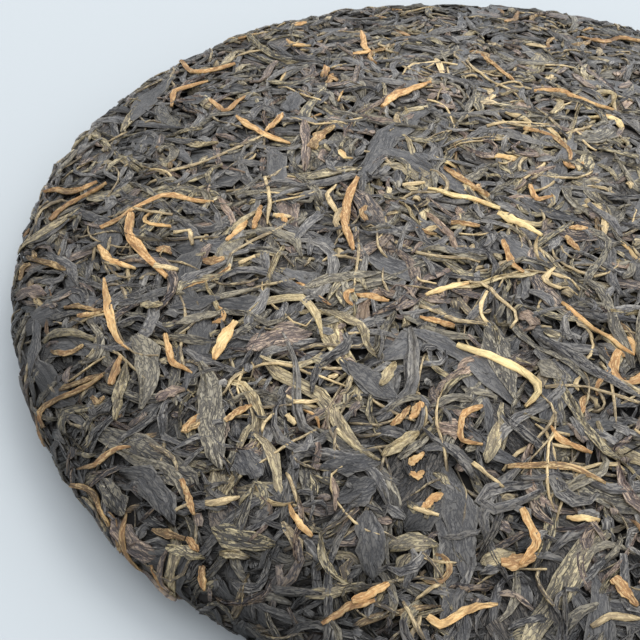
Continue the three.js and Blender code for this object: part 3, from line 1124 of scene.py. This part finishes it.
def strip_points(batch, chosen):
    """Points (leaf, row, ring, 3) of the chosen leaves in millimetres, and their values."""
    arc, turn = batch["arc"][chosen], batch["turn"][chosen]
    rest, crest = batch["rest"][chosen], batch["crest"][chosen]
    on_face = np.broadcast_to(batch["on_face"][chosen][:, None, None], arc.shape)
    base = pressed(rest, arc, turn, on_face)
    top = base + crest
    low = np.minimum(base + batch["under"][chosen], top - LEAST_THICKNESS)
    foot, normal = surface(arc, turn)
    over = on_board(foot + normal * top[..., None])
    under = on_board(foot + normal * low[..., None])
    share = np.linspace(0, 1, arc.shape[1])[None, :, None]
    along = share * batch["length"][chosen][:, None, None]
    seed = batch["dice"][chosen, 21][:, None, None] * SEED_SPAN
    grain = np.stack(np.broadcast_arrays(along, batch["aside"][chosen], seed), -1)
    # Painted shade near the edge: a darker tone, and a lower place for the painted shade between
    # leaves.
    dull = np.clip(1 - np.abs(arc - EDGE_ARC) / EDGE_SHADE_REACH, 0, 1)
    tone = batch["tone"][chosen][:, None, None] - EDGE_SHADE_TONE * dull
    sunk = EDGE_SHADE_DEPTH * dull
    high = np.stack(np.broadcast_arrays(top - sunk, batch["side"][chosen], tone), -1)
    deep = np.stack(np.broadcast_arrays(low - sunk, batch["side"][chosen], tone), -1)
    return [
        np.concatenate([upper, lower[:, :, ::-1]], 2)
        for upper, lower in ((over, under), (grain, grain), (high, deep))
    ]


# %% Faces of one kind
def strip_faces(rows, ring):
    """The corners of one closed strip: quads along it, and a cap of quads at each end."""
    faces = []
    for i in range(rows - 1):
        for k in range(ring):
            a, b = i * ring + k, i * ring + (k + 1) % ring
            faces.append((a, a + ring, b + ring, b))
    last = (rows - 1) * ring
    for k in range(ring // 2 - 1):
        far = ring - 1 - k
        faces.append((k, k + 1, far - 1, far))
        faces.append((last + k + 1, last + k, last + far, last + far - 1))
    return np.array(faces)


def mark_folds(mesh, rows, ring, folded):
    """Keeps the ends and the sides of each leaf crisp, and its folds too where it has them."""
    ends = np.zeros(2 * len(mesh.edges), np.int32)
    mesh.edges.foreach_get("vertices", ends)
    first, second = ends.reshape(-1, 2).T
    column = first % ring
    lengthwise = column == second % ring
    if not folded:
        lengthwise &= np.isin(column, (0, ring // 2 - 1, ring // 2, ring - 1))
    row = first // ring % rows
    crosswise = (first // ring == second // ring) & np.isin(row, (0, rows - 1))
    layer = mesh.attributes.new("sharp_edge", "BOOLEAN", "EDGE")
    layer.data.foreach_set("value", lengthwise | crosswise)


def mesh_piece(name, points, faces, values, material):
    """A mesh object in metres from arrays, smooth, riding on the cake's one body."""
    mesh = bpy.data.meshes.new(name)
    mesh.vertices.add(len(points))
    mesh.vertices.foreach_set("co", (points * MM).astype(np.float32).ravel())
    mesh.loops.add(faces.size)
    mesh.loops.foreach_set("vertex_index", faces.astype(np.int32).ravel())
    mesh.polygons.add(len(faces))
    starts = np.arange(0, faces.size, faces.shape[1], dtype=np.int32)
    mesh.polygons.foreach_set("loop_start", starts)
    mesh.polygons.foreach_set("use_smooth", np.ones(len(faces), bool))
    for key, value in values.items():
        layer = mesh.attributes.new(key, "FLOAT_VECTOR", "POINT")
        layer.data.foreach_set("vector", value.astype(np.float32).ravel())
    mesh.update(calc_edges=True)
    piece = bpy.data.objects.new(name, mesh)
    bpy.context.scene.collection.objects.link(piece)
    mesh.materials.append(material)
    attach(piece, "root")
    print(name, len(mesh.vertices), "points,", len(faces) * 2, "triangles")
    return piece


# %% Leaves of one kind and finish as one piece
# A section with more corners than this has folds, or sides, to keep crisp
ROUND_CORNERS = 6


def leaf_piece(name, batch, chosen, material, slot):
    """All the chosen leaves of one kind as one piece."""
    ring, grain, place = strip_points(batch, chosen)
    count, rows, corners = ring.shape[:3]
    one = strip_faces(rows, corners)
    first = np.arange(count) * rows * corners
    faces = (one[None] + first[:, None, None]).reshape(-1, 4)
    values = {"grain": grain.reshape(-1, 3), "place": place.reshape(-1, 3)}
    piece = mesh_piece(name, ring.reshape(-1, 3), faces, values, material)
    if corners > ROUND_CORNERS:
        mark_folds(piece.data, rows, corners, batch["kind"] not in ("under_leaf", "golden_bud"))
    return piece


# %% [markdown]
# ## Materials
#
# Dry tea leaf is plant fibre with a thin wax skin: not metallic, an IOR of about 1.45, and a dull
# satin sheen along the fibres. Its veins run lengthwise, some tenths of a millimetre apart, so
# every pattern here is stretched along the leaf. The `grain` values of the mesh give millimetres
# along and across each leaf. The `place` values give how far over the press outline a point lies,
# less a painted shade near the edge, where it lies across the leaf, and the leaf's tone, which is
# also painted darker near the edge. Low places are painted darker, as the shade between leaves.

# %% Colours and nodes
def srgb(code):
    """A hex colour as linear values with an alpha of 1."""
    parts = [int(code[i : i + 2], 16) / 255 for i in (1, 3, 5)]
    return [c / 12.92 if c <= 0.04045 else ((c + 0.055) / 1.055) ** 2.4 for c in parts] + [1.0]


def add(tree, kind, settings=(), links=()):
    """A node with its settings, and its inputs as values or as outputs of other nodes.

    The setting "stops" holds the (place, hex colour) pairs of a colour ramp.
    """
    node = tree.nodes.new(kind)
    for key, value in dict(settings).items():
        if key == "stops":
            while len(node.color_ramp.elements) < len(value):
                node.color_ramp.elements.new(0.5)
            for element, (place, code) in zip(node.color_ramp.elements, value):
                element.position = place
                element.color = srgb(code)
        else:
            setattr(node, key, value)
    for key, value in dict(links).items():
        if isinstance(value, bpy.types.NodeSocket):
            tree.links.new(value, node.inputs[key])
        else:
            node.inputs[key].default_value = value
    return node


# %% Patterns of a dry leaf
# One turn of each pattern in millimetres along and across the leaf, and its finer detail. Real
# fibres are finer than the dust, which is as coarse as it has to be to show.
FOLDED = (7.0, 1.1, 2.0)
WRINKLED = (1.8, 0.65, 3.0)
VEINED = (3.4, 0.34, 3.0)
DUSTY = (2.8, 0.25, 2.0)
PATCHY = (5.0, 3.0, 2.0)
WORKED = (14.0, 8.0, 0.0)
IOR_OF_LEAF = 1.45
SHINE_SPREAD = 0.12


def creases(tree, grain, along, across, detail):
    """Noise stretched along the leaf: one turn in so many millimetres along and across it."""
    stretched = add(
        tree, "ShaderNodeVectorMath", {"operation": "MULTIPLY"},
        {0: grain, 1: (1 / along, 1 / across, 1.0)},
    ).outputs[0]
    return add(
        tree, "ShaderNodeTexNoise",
        links={"Vector": stretched, "Scale": 1.0, "Detail": detail, "Roughness": 0.6},
    ).outputs["Fac"]


def grooves(tree, noise, width):
    """Height from 0 in a groove to 1 beside it. Grooves are where the noise is half."""
    from_line = add(tree, "ShaderNodeMath", {"operation": "SUBTRACT"}, {0: noise, 1: 0.5}).outputs[0]
    distance = add(tree, "ShaderNodeMath", {"operation": "ABSOLUTE"}, {0: from_line}).outputs[0]
    return add(
        tree, "ShaderNodeMapRange", {"interpolation_type": "SMOOTHSTEP"},
        {"Value": distance, "From Max": width},
    ).outputs[0]


# %% Relief of a dry leaf
# Veins wander this many millimetres aside. The other values are how wide a groove is in its
# noise, and how high wrinkles and veins are beside a fold.
VEIN_WANDER = 2.2
WANDER_SCALE = 0.22
FOLD_GROOVE = 0.06
WRINKLE_GROOVE = 0.07
WRINKLE_HEIGHT = 0.5
VEIN_HEIGHT = 0.6


def wandering(tree, plain):
    """Places along and across the leaf, moved aside a little so that veins aren't straight."""
    wander = add(
        tree, "ShaderNodeTexNoise", links={"Vector": plain, "Scale": WANDER_SCALE, "Detail": 1.0}
    ).outputs["Color"]
    return add(
        tree, "ShaderNodeVectorMath", {"operation": "MULTIPLY_ADD"},
        {0: wander, 1: (0, VEIN_WANDER, 0), 2: plain},
    ).outputs[0]


def leaf_relief(tree, plain, grain, calm):
    """The height of folds, wrinkles and veins, and how much of its folds a place shows."""
    folds = grooves(tree, creases(tree, grain, *FOLDED), FOLD_GROOVE)
    wrinkles = grooves(tree, creases(tree, plain, *WRINKLED), WRINKLE_GROOVE)
    veins = creases(tree, grain, *VEINED)
    parts_worked = creases(tree, plain, *WORKED)
    worked = add(
        tree, "ShaderNodeMapRange",
        links={"Value": parts_worked, "From Min": 0.43, "From Max": 0.57, "To Min": calm},
    ).outputs[0]
    height = add(
        tree, "ShaderNodeMix", {"data_type": "FLOAT"}, {"Factor": worked, "A": 1.0, "B": folds}
    ).outputs["Result"]
    for pattern, share in ((wrinkles, WRINKLE_HEIGHT), (veins, VEIN_HEIGHT)):
        height = add(
            tree, "ShaderNodeMath", {"operation": "MULTIPLY_ADD"}, {0: pattern, 1: share, 2: height}
        ).outputs[0]
    return height, worked


# %% Colour and shade of a dry leaf
def leaf_colour(tree, parts, patches, height, tones, pale_vein_and_highlight, edge):
    """The body by its tone, with pale veins lightened on the crests as a painted highlight, and worn
    sides that are partly a painted highlight.
    """
    tone = add(
        tree, "ShaderNodeMath", {"operation": "MULTIPLY_ADD"}, {0: patches, 1: 0.9, 2: -0.45}
    ).outputs[0]
    tone = add(
        tree, "ShaderNodeMath", {"operation": "ADD"}, {0: parts.outputs["Z"], 1: tone}
    ).outputs[0]
    body = add(tree, "ShaderNodeValToRGB", {"stops": tones}, {"Fac": tone}).outputs["Color"]
    # Pale veins on the high crests of the relief, lighter there also as a painted highlight where the
    # crests catch light.
    vein_and_highlight_mask = add(
        tree, "ShaderNodeMapRange",
        links={"Value": height, "From Min": 1.5, "From Max": 1.9, "To Max": pale_vein_and_highlight[1]},
    ).outputs[0]
    lit = add(
        tree, "ShaderNodeMix", {"data_type": "RGBA"}, {"Factor": vein_and_highlight_mask, "A": body, "B": srgb(pale_vein_and_highlight[0])}
    ).outputs["Result"]
    # Worn sides, painted lighter also as a highlight where the edges catch light.
    edge_wear_and_highlight = add(tree, "ShaderNodeMath", {"operation": "ABSOLUTE"}, {0: parts.outputs["Y"]}).outputs[0]
    edge_wear_and_highlight = add(
        tree, "ShaderNodeMapRange",
        links={"Value": edge_wear_and_highlight, "From Min": 0.75, "From Max": 1.0, "To Max": edge[1]},
    ).outputs[0]
    return add(
        tree, "ShaderNodeMix", {"data_type": "RGBA"}, {"Factor": edge_wear_and_highlight, "A": lit, "B": srgb(edge[0])}
    ).outputs["Result"]


def painted_shade_and_dust(tree, parts, grain, height, worked, dark, speckle):
    """How much of its colour a place keeps: painted shade in grooves and deep between leaves, and spots
    of dust.
    """
    # Painted shade: the colour is darker in the grooves of the relief.
    shade = add(
        tree, "ShaderNodeMapRange",
        links={"Value": height, "From Min": 0.4, "From Max": 1.3, "To Min": dark},
    ).outputs[0]
    dust = add(
        tree, "ShaderNodeMapRange",
        links={
            "Value": creases(tree, grain, *DUSTY), "From Min": 0.3, "From Max": 0.7,
            "To Min": 1 - speckle, "To Max": 1 + 1.3 * speckle,
        },
    ).outputs[0]
    dust = add(
        tree, "ShaderNodeMix", {"data_type": "FLOAT"}, {"Factor": worked, "A": 1.0, "B": dust}
    ).outputs["Result"]
    # Painted shade: the colour is darker the lower a place lies among its neighbours, and near the
    # edge.
    depth = add(
        tree, "ShaderNodeMapRange",
        links={"Value": parts.outputs["X"], "From Min": -1.6, "From Max": -0.22, "To Min": 0.12},
    ).outputs[0]
    for part in (dust, depth):
        shade = add(tree, "ShaderNodeMath", {"operation": "MULTIPLY"}, {0: shade, 1: part}).outputs[0]
    return shade


# %% One dry leaf
def dry_leaf(name, tones, pale_vein_and_highlight, edge, rough, relief, calm, dark, speckle):
    """Satin dry leaf, folded and veined lengthwise.

    The tones run from dull to bright. The pale vein colour, which also paints a highlight on the
    crests, and the edge colour, worn and also a painted highlight, are each a colour and how strong it
    is.
    The relief is in millimetres, calm is how many folds show where the leaf is smooth, dark is how
    much light is left in a groove, and speckle is how much finer spots differ.
    """
    material = bpy.data.materials.new(name)
    material.use_nodes = True
    tree = material.node_tree
    shader = tree.nodes["Principled BSDF"]
    plain = add(tree, "ShaderNodeAttribute", {"attribute_name": "grain"}).outputs["Vector"]
    place = add(tree, "ShaderNodeAttribute", {"attribute_name": "place"}).outputs["Vector"]
    parts = add(tree, "ShaderNodeSeparateXYZ", links={0: place})
    grain = wandering(tree, plain)
    patches = creases(tree, plain, *PATCHY)
    height, worked = leaf_relief(tree, plain, grain, calm)
    body = leaf_colour(tree, parts, patches, height, tones, pale_vein_and_highlight, edge)
    shade = painted_shade_and_dust(tree, parts, grain, height, worked, dark, speckle)
    colour = add(
        tree, "ShaderNodeVectorMath", {"operation": "MULTIPLY"}, {0: body, 1: shade}
    ).outputs[0]
    tree.links.new(colour, shader.inputs["Base Color"])
    shine = add(
        tree, "ShaderNodeMapRange",
        links={"Value": patches, "To Min": rough + SHINE_SPREAD, "To Max": rough - SHINE_SPREAD},
    ).outputs[0]
    tree.links.new(shine, shader.inputs["Roughness"])
    shader.inputs["IOR"].default_value = IOR_OF_LEAF
    bump = add(
        tree, "ShaderNodeBump", links={"Height": height, "Strength": 1.0, "Distance": relief * MM}
    ).outputs["Normal"]
    tree.links.new(bump, shader.inputs["Normal"])
    return material


# %% [markdown]
# ## Finishes of this cake
#
# Ripening in a damp heap turns most leaves nearly black, and leaves others brown or olive. They
# could all have one material whose colour is drawn by chance, but then gold and dark would mix
# on one leaf. So each finish is a material of its own, made by the one function, and what differs
# is only its colours, sheen and folds.

# %% Dark finishes
# In the depth the leaves are painted dark brown and matt, as painted shade for the shade that falls
# between the leaves
shaded_leaf = dry_leaf(
    "leaf_in_the_depth",
    [(0.0, "#242120"), (0.6, "#302c29"), (1.0, "#3e3833")],
    pale_vein_and_highlight=("#6b6051", 0.5), edge=("#4a4238", 0.4),
    rough=0.5, relief=0.16, calm=0.9, dark=0.4, speckle=0.7,
)

# Fully ripened leaf is charcoal with paler worn veins, lighter on the crests as a painted highlight,
# and a satin sheen, which lights its folds
charcoal_leaf = dry_leaf(
    "charcoal_ripened_leaf",
    [(0.0, "#2d2b2c"), (0.35, "#413f40"), (0.7, "#4f4d4d"), (1.0, "#605c57")],
    pale_vein_and_highlight=("#a49d90", 0.38), edge=("#807b72", 0.5),
    rough=0.35, relief=0.13, calm=0.1, dark=0.36, speckle=0.48,
)

# Broad ripened leaf lay flat under the stone, so it is smoother, and grey where it catches light
slate_leaf = dry_leaf(
    "smooth_slate_leaf",
    [(0.0, "#29282a"), (0.35, "#39383a"), (0.7, "#464546"), (1.0, "#585552")],
    pale_vein_and_highlight=("#8d877c", 0.25), edge=("#78736b", 0.45),
    rough=0.4, relief=0.1, calm=0.05, dark=0.42, speckle=0.3,
)
print("dark", [leaf.name for leaf in (shaded_leaf, charcoal_leaf, slate_leaf)])

# %% Brown and olive finishes
# Leaf that ripened less is umber, and its straw coloured veins show, lighter on the crests as a painted
# highlight
umber_leaf = dry_leaf(
    "umber_leaf",
    [(0.0, "#2f2b27"), (0.35, "#464139"), (0.7, "#575147"), (1.0, "#6e6657")],
    pale_vein_and_highlight=("#b0a58a", 0.48), edge=("#8b8270", 0.5),
    rough=0.38, relief=0.13, calm=0.2, dark=0.36, speckle=0.55,
)

# Leaf bruised before it ripened is a redder brown
brown_leaf = dry_leaf(
    "red_brown_leaf",
    [(0.0, "#30292a"), (0.4, "#4c413e"), (0.75, "#605049"), (1.0, "#7e6857")],
    pale_vein_and_highlight=("#b39d83", 0.55), edge=("#8c7a66", 0.45),
    rough=0.38, relief=0.13, calm=0.2, dark=0.36, speckle=0.6,
)

# Older, coarser leaf stays olive tan with pale streaks, partly a painted highlight on the crests, and
# draws the eye among the dark ones
olive_leaf = dry_leaf(
    "olive_streaked_leaf",
    [(0.0, "#3f3a32"), (0.4, "#625a4b"), (0.75, "#7c6f58"), (1.0, "#9f8c66")],
    pale_vein_and_highlight=("#cdbc90", 0.55), edge=("#a99b79", 0.5),
    rough=0.42, relief=0.13, calm=0.4, dark=0.38, speckle=0.55,
)
print("paler", [leaf.name for leaf in (umber_leaf, brown_leaf, olive_leaf)])

# %% Golden and straw finishes
# Buds are covered with fine down, so they are matt and golden, with hardly any shine
golden_down = dry_leaf(
    "golden_bud_down",
    [(0.0, "#6b5435"), (0.25, "#8c663d"), (0.6, "#ac804e"), (0.85, "#c09a64"), (1.0, "#d0ba85")],
    pale_vein_and_highlight=("#dcc08c", 0.5), edge=("#c9a66f", 0.4),
    rough=0.6, relief=0.06, calm=0.6, dark=0.6, speckle=0.18,
)

# Stalks are bare woody stem: straw coloured, with a slight sheen
straw_stalk = dry_leaf(
    "straw_stalk",
    [(0.0, "#463d33"), (0.3, "#675a47"), (0.65, "#94805e"), (1.0, "#c4ab7d")],
    pale_vein_and_highlight=("#e0ca9a", 0.45), edge=("#bca57b", 0.3),
    rough=0.5, relief=0.07, calm=0.5, dark=0.5, speckle=0.3,
)
print("materials", [m.name for m in bpy.data.materials])


# %% Which leaves have which finish
def laid(kind):
    """The numbers of the leaves of a kind that were laid."""
    return np.flatnonzero(leaves[kind]["laid"])


def by_lot(chosen, shares):
    """Splits numbers among several finishes by their shares, the same way every time."""
    lot = random.random(len(chosen))
    limits = np.concatenate([[0], np.cumsum(shares)])
    return [chosen[(lot >= limits[k]) & (lot < limits[k + 1])] for k in range(len(shares))]


def loose_and_placed(kind):
    """The laid leaves of a kind that fell by chance, and those that were listed."""
    numbers = laid(kind)
    chance = len(leaves[kind]["length"]) - leaves[kind]["placed"]
    return numbers[numbers < chance], numbers[numbers >= chance]


FINISHES = {
    "dark": (charcoal_leaf, "pressed_leaf"),
    "slate": (slate_leaf, "pressed_leaf"),
    "umber": (umber_leaf, "pressed_leaf"),
    "brown": (brown_leaf, "brown_leaf"),
    "olive": (olive_leaf, "olive_leaf"),
    "golden": (golden_down, "golden_bud"),
    "straw": (straw_stalk, "pale_stalk"),
}

# Which share of each kind has which finish
LOTS = {
    "broad_leaf": ("broad", {"slate": 0.57, "umber": 0.2, "brown": 0.16, "olive": 0.07}),
    "twisted_leaf": ("twisted", {"dark": 0.53, "umber": 0.21, "brown": 0.14, "olive": 0.12}),
    "leaf_strip": (
        "narrow", {"dark": 0.48, "umber": 0.19, "brown": 0.14, "olive": 0.14, "straw": 0.05}
    ),
    "leaf_bit": (
        "broken", {"dark": 0.5, "brown": 0.19, "olive": 0.16, "golden": 0.03, "straw": 0.12}
    ),
}
print("finishes of leaves", list(FINISHES))

# %% Make the pieces of leaf
leaf_piece("under_leaves", leaves["under_leaf"], laid("under_leaf"), shaded_leaf, "pressed_leaf")
for kind, (name, shares) in LOTS.items():
    chance, placed = loose_and_placed(kind)
    lots = dict(zip(shares, by_lot(chance, list(shares.values()))))
    first = len(leaves[kind]["length"]) - leaves[kind]["placed"]
    for number in placed:
        finish = leaves[kind]["finish"][number - first]
        lots[finish] = np.append(lots[finish], number)
    for finish, chosen in lots.items():
        leaf_piece(name + "_" + finish + "_leaves", leaves[kind], chosen, *FINISHES[finish])
leaf_piece("golden_buds", leaves["golden_bud"], laid("golden_bud"), golden_down, "golden_bud")
leaf_piece("stalks", leaves["stalk"], laid("stalk"), straw_stalk, "pale_stalk")

# %% [markdown]
# ## The core
#
# Between the leaves one sees no bottom, only dark gaps. A plain turned body just below the
# deepest leaves closes the cake, and stands for the leaves inside it that nobody sees. Its near
# black colour is painted shade.

# %% Mesh of the core
# The core lies this deep below the outline, and less deep at the loose edge
CORE_DEPTH = 2.7
CORE_NEARER = 1.2
CORE_LUMPS = 0.25
CORE_TURNS = 110
CORE_RINGS = 72


def core_mesh():
    """The press outline, moved inward and turned about the axis, as points and faces."""
    arc = np.linspace(0, WHOLE_ARC, CORE_RINGS)[1:-1]
    turn = np.linspace(0, 2 * np.pi, CORE_TURNS, endpoint=False)
    arc, turn = np.meshgrid(arc, turn, indexing="ij")
    foot, normal = surface(arc, turn)
    lumps = CORE_LUMPS * np.sin(arc * 1.7 + 3 * np.sin(turn * 9)) * np.sin(turn * 31 + arc * 0.3)
    depth = CORE_DEPTH - CORE_NEARER * loose(arc) + lumps
    points = (foot - normal * depth[..., None]).reshape(-1, 3)
    rings = arc.shape[0]
    faces = []
    for i in range(rings - 1):
        for k in range(CORE_TURNS):
            a, b = i * CORE_TURNS + k, i * CORE_TURNS + (k + 1) % CORE_TURNS
            faces.append((a, a + CORE_TURNS, b + CORE_TURNS, b))
    top, bottom = len(points), len(points) + 1
    centres = [[0, 0, CENTRE_THICKNESS - CORE_DEPTH], [0, 0, HOLLOW_DEPTH + CORE_DEPTH]]
    points = np.concatenate([points, centres])
    last = (rings - 1) * CORE_TURNS
    caps = []
    for k in range(CORE_TURNS):
        caps.append((top, k, (k + 1) % CORE_TURNS))
        caps.append((bottom, last + (k + 1) % CORE_TURNS, last + k))
    return points, faces + caps


# %% Finish and piece of the core
# Small leaf in full shade, painted nearly black as shade: matt, with faint mottling of 2 mm
MOTTLES_PER_METRE = 500.0


def deep_leaf():
    """Dark matt leaf that no light reaches, painted near black as shade, a little mottled."""
    material = bpy.data.materials.new("deep_leaf_shadow")
    material.use_nodes = True
    tree = material.node_tree
    shader = tree.nodes["Principled BSDF"]
    spot = add(tree, "ShaderNodeTexCoord").outputs["Object"]
    noise = add(
        tree, "ShaderNodeTexNoise",
        links={"Vector": spot, "Scale": MOTTLES_PER_METRE, "Detail": 2.0},
    ).outputs["Fac"]
    dark = add(
        tree, "ShaderNodeValToRGB", {"stops": [(0.3, "#0c0a0a"), (0.7, "#1a1715")]}, {"Fac": noise}
    ).outputs["Color"]
    tree.links.new(dark, shader.inputs["Base Color"])
    shader.inputs["Roughness"].default_value = 0.85
    shader.inputs["IOR"].default_value = IOR_OF_LEAF
    return material


def core_piece():
    """The core as one piece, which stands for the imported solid."""
    points, faces = core_mesh()
    mesh = bpy.data.meshes.new("pressed_core")
    mesh.from_pydata((points * MM).tolist(), [], faces)
    mesh.polygons.foreach_set("use_smooth", np.ones(len(mesh.polygons), bool))
    mesh.materials.append(deep_leaf())
    piece = bpy.data.objects.new("pressed_core", mesh)
    bpy.context.scene.collection.objects.link(piece)
    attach(piece, "root")
    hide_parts("tea_cake")
    return piece


print("core", len(core_piece().data.vertices), "points")

# %% [markdown]
# ## Floor, light and camera
#
# The cake lies on a pale table under a soft overcast light from a window, so the shadows are faint
# and wide. The world is brighter towards the window, and one large area light stands in it. The
# camera takes the place and the directions of the eye.

# %% Floor
FLOOR_REACH = 3.0
corners = [(-1, -1), (1, -1), (1, 1), (-1, 1)]
floor_mesh = bpy.data.meshes.new("floor")
floor_mesh.from_pydata([(x * FLOOR_REACH, y * FLOOR_REACH, 0) for x, y in corners], [], [(0, 1, 2, 3)])
floor = bpy.data.objects.new("floor", floor_mesh)
bpy.context.scene.collection.objects.link(floor)

# Painted wood: matt, and grey enough to be pale in this light without glaring
table_paint = bpy.data.materials.new("pale_painted_table")
table_paint.use_nodes = True
paint = table_paint.node_tree.nodes["Principled BSDF"]
paint.inputs["Base Color"].default_value = srgb("#9ca1a4")
paint.inputs["Roughness"].default_value = 0.7
floor_mesh.materials.append(table_paint)
print("floor", 2 * FLOOR_REACH, "m wide")

# %% Light of the room
# The room is this bright away from the window and towards it
WINDOW = Vector((0.5, 0.42, 0.76)).normalized()
ROOM_GLOW = 1.37
WINDOW_GLOW = 2.28
world = bpy.data.worlds.new("room_with_a_window")
bpy.context.scene.world = world
world.use_nodes = True
sky = world.node_tree
direction = add(sky, "ShaderNodeTexCoord").outputs["Generated"]
towards = add(sky, "ShaderNodeVectorMath", {"operation": "DOT_PRODUCT"}, {0: direction, 1: WINDOW})
glow = add(
    sky, "ShaderNodeMapRange", {"interpolation_type": "SMOOTHSTEP"},
    {
        "Value": towards.outputs["Value"], "From Min": -0.3, "From Max": 0.95,
        "To Min": ROOM_GLOW, "To Max": WINDOW_GLOW,
    },
)
sky.nodes["Background"].inputs["Color"].default_value = srgb("#f4f7fb")
sky.links.new(glow.outputs[0], sky.nodes["Background"].inputs["Strength"])
print("towards the window", [round(part, 2) for part in WINDOW])

# %% Light of the window
# A large window in metres and watts, so far away that its shadows are wide and soft
WINDOW_PLACE = Vector((1.8, 2.4, 4.8))
WINDOW_SIZE = (2.8, 2.4)
WINDOW_POWER = 108.0
window_light = bpy.data.lights.new("window", "AREA")
window_light.shape = "RECTANGLE"
window_light.size, window_light.size_y = WINDOW_SIZE
window_light.energy = WINDOW_POWER
window_light.color = srgb("#fffefa")[:3]
window = bpy.data.objects.new("window", window_light)
bpy.context.scene.collection.objects.link(window)
window.location = WINDOW_PLACE
window.rotation_euler = (-WINDOW_PLACE).to_track_quat("-Z", "Y").to_euler()
print("window", round(WINDOW_PLACE.length, 1), "m away")

# %% Camera
SENSOR_WIDTH = 36.0
camera_data = bpy.data.cameras.new("camera")
camera_data.sensor_width = SENSOR_WIDTH
camera_data.lens = FOCAL_PIXELS * SENSOR_WIDTH / PIXELS
camera_data.clip_start = 0.01
camera = bpy.data.objects.new("camera", camera_data)
bpy.context.scene.collection.objects.link(camera)
camera.matrix_world = (
    Matrix.Translation(Vector(EYE * MM)) @ Matrix(EYE_AXES.tolist()).transposed().to_4x4()
)
bpy.context.scene.camera = camera
bpy.context.scene.view_settings.view_transform = "Standard"
print("camera", [round(c, 3) for c in camera.location])
